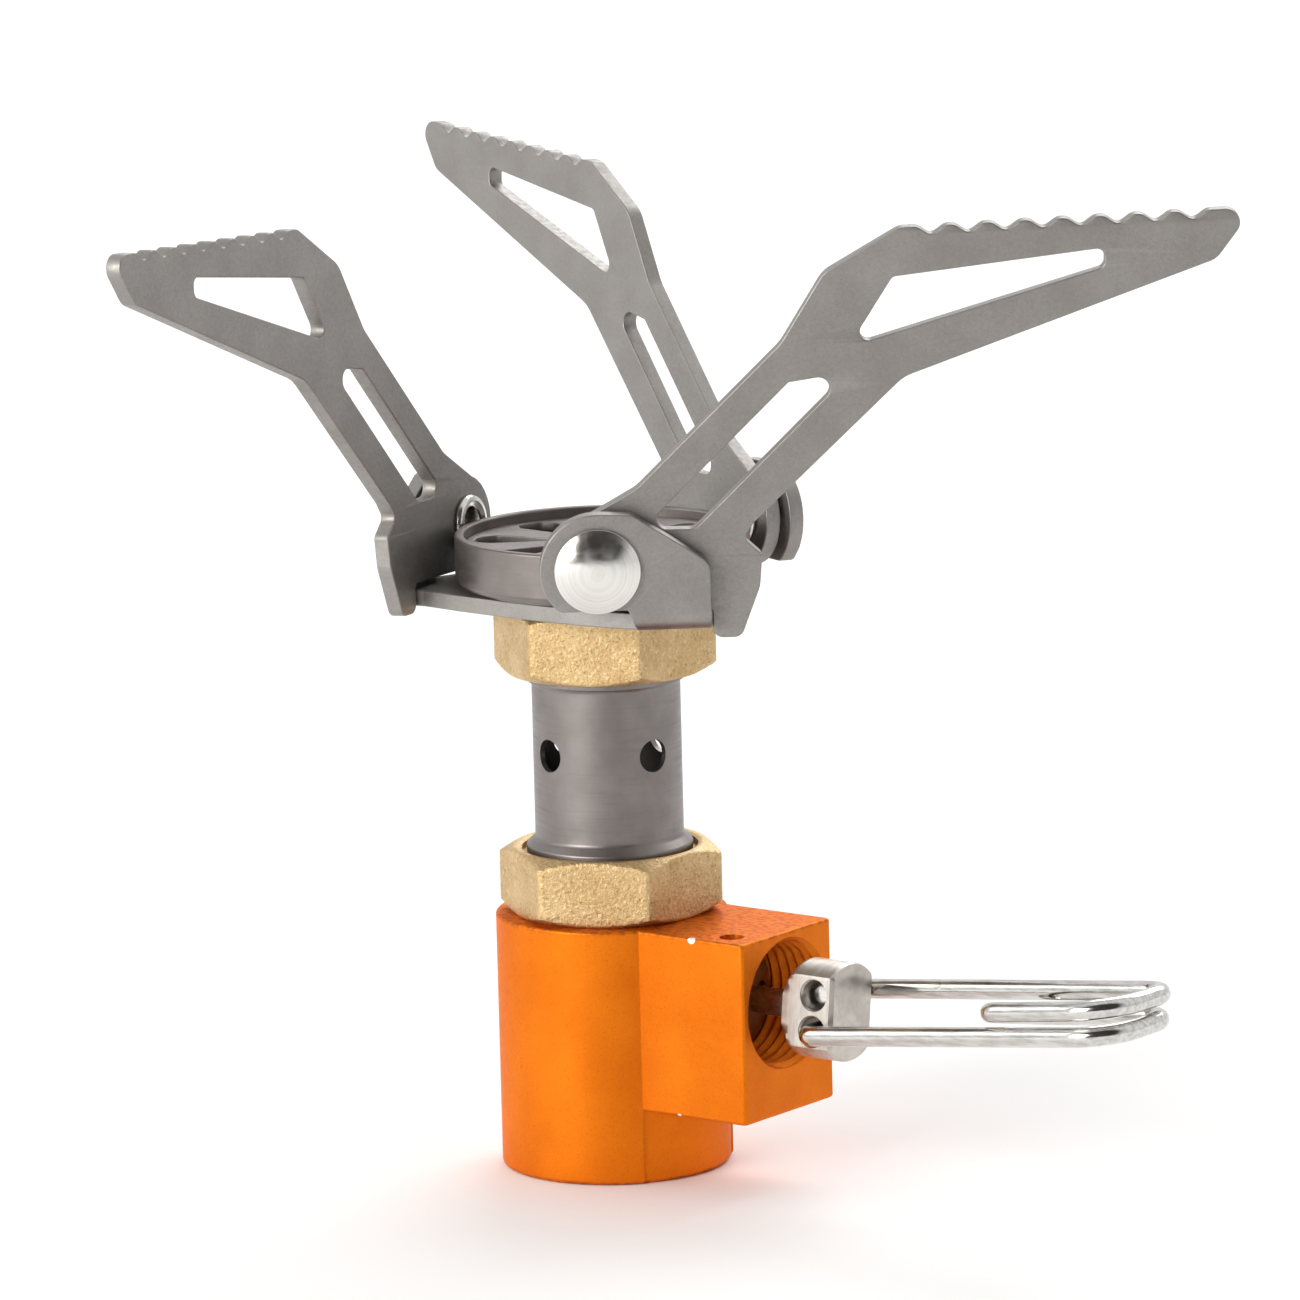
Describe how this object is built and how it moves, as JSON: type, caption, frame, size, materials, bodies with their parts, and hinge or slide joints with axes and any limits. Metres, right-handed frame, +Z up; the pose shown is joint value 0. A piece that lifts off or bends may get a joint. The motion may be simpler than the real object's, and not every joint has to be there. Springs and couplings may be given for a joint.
{
  "type": "canister stove",
  "caption": "Folding gas burner that screws onto a threaded canister, with hinged serrated pot arms, round burner head, mixing tube and wire valve handle.",
  "frame": {"origin": "centre of the valve body's bottom face, at the mouth of the canister thread, on the burner axis", "axes": "+Z up along the burner axis, +X along the valve spindle towards the wire handle, +Y to the left when looking along +X"},
  "size_m": [0.1006, 0.089, 0.0857],
  "materials": {
    "orange_anodised": "satin orange anodised",
    "brass": "sand-blasted",
    "arm_titanium": "bead-blasted titanium",
    "burner_titanium": "turned titanium, dulled",
    "tube_steel": "satin",
    "bright_steel": "polished",
    "filter_metal": "sintered",
    "seal_rubber": "matt"
  },
  "bodies": {
    "stove": {"valve_body": "orange_anodised", "canister_seal": "seal_rubber", "actuator_pin": "brass", "packing_gland": "brass", "spindle_seal": "seal_rubber", "jet_holder": "brass", "jet_filter": "filter_metal", "jet": "brass", "mixing_tube": "tube_steel", "burner_nut": "brass", "burner_head": "burner_titanium", "burner_plate": "burner_titanium", "support_bracket": "arm_titanium", "rivet_a": "bright_steel", "washer_a": "bright_steel", "rivet_b": "bright_steel", "washer_b": "bright_steel", "rivet_c": "bright_steel", "washer_c": "bright_steel"},
    "needle": {"needle_spindle": "bright_steel"},
    "hub": {"spindle_hub": "bright_steel"},
    "wire_handle": {"handle": "bright_steel"},
    "pot_arm_a": {"arm_a": "arm_titanium"},
    "pot_arm_b": {"arm_b": "arm_titanium"},
    "pot_arm_c": {"arm_c": "arm_titanium"}
  },
  "joints": [
    {"name": "valve_travel", "type": "slide", "parent": "stove", "child": "needle", "axis": [1, 0, 0], "range_m": [0, 0.0023]},
    {"name": "valve_turn", "type": "hinge", "parent": "needle", "child": "hub", "pos_m": [0.0224, 0, 0.01595], "axis": [1, 0, 0], "range_deg": [0, 1080]},
    {"name": "handle_fold", "type": "hinge", "parent": "hub", "child": "wire_handle", "pos_m": [0.0234, -0.002, 0.0145], "axis": [0, 1, 0], "range_deg": [-88, 80]},
    {"name": "arm_a_fold", "type": "hinge", "parent": "stove", "child": "pot_arm_a", "pos_m": [0.00833, -0.01166, 0.05489], "axis": [0.6305, -0.7745, -0.0515], "range_deg": [0, 75]},
    {"name": "arm_b_fold", "type": "hinge", "parent": "stove", "child": "pot_arm_b", "pos_m": [-0.01426, -0.00138, 0.05489], "axis": [-0.986, -0.1588, -0.0515], "range_deg": [-2, 73]},
    {"name": "arm_c_fold", "type": "hinge", "parent": "stove", "child": "pot_arm_c", "pos_m": [0.00593, 0.01304, 0.05489], "axis": [0.3555, 0.9333, -0.0515], "range_deg": [0, 75]}
  ],
  "couplings": [
    {"joint": "valve_travel", "follows": "valve_turn", "m_per_rad": 0.00011937}
  ]
}
